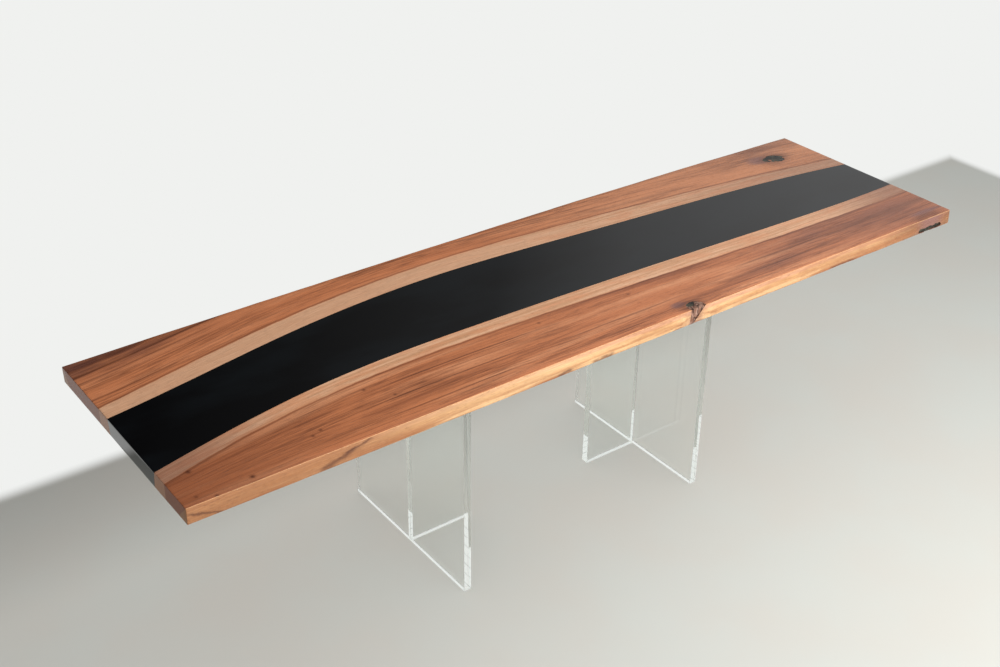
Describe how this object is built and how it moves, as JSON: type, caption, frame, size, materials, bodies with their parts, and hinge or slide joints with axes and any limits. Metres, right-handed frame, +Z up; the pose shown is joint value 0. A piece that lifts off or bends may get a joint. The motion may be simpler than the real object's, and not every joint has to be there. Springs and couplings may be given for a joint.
{
  "type": "live edge dining table",
  "caption": "Long walnut dining table with live edges and a curved black resin river along its middle, standing on clear acrylic T-shaped pedestals.",
  "frame": {"origin": "on the floor, under the middle of the top's bounding rectangle", "axes": "+X along the top towards the end with the knot in its back slab, +Y towards the bowed back edge, +Z up"},
  "size_m": [2.743, 0.7698, 0.762],
  "materials": {
    "walnut": "oiled satin, pale sapwood bands",
    "river_resin": "polished black",
    "knot_resin": "black, semi-gloss",
    "clear_acrylic": "clear, polished edges",
    "channel_steel": "black powder coat",
    "stainless_steel": "plain stainless",
    "brass": "turned"
  },
  "bodies": {
    "root": {"front_slab": "walnut", "back_slab": "walnut", "resin_river": "river_resin", "front_knot_fill": "knot_resin", "back_knot_fill": "knot_resin", "edge_pocket_fill": "knot_resin", "left_cross_panel": "clear_acrylic", "left_stem_panel": "clear_acrylic", "left_mounting_plate": "clear_acrylic", "right_cross_panel": "clear_acrylic", "right_stem_panel": "clear_acrylic", "right_mounting_plate": "clear_acrylic", "left_channel": "channel_steel", "middle_channel": "channel_steel", "right_channel": "channel_steel", "left_channel_screws": "stainless_steel", "left_channel_washers": "stainless_steel", "left_channel_inserts": "brass", "middle_channel_screws": "stainless_steel", "middle_channel_washers": "stainless_steel", "middle_channel_inserts": "brass", "right_channel_screws": "stainless_steel", "right_channel_washers": "stainless_steel", "right_channel_inserts": "brass", "left_plate_screws": "stainless_steel", "left_plate_washers": "stainless_steel", "left_plate_inserts": "brass", "right_plate_screws": "stainless_steel", "right_plate_washers": "stainless_steel", "right_plate_inserts": "brass"}
  },
  "joints": []
}
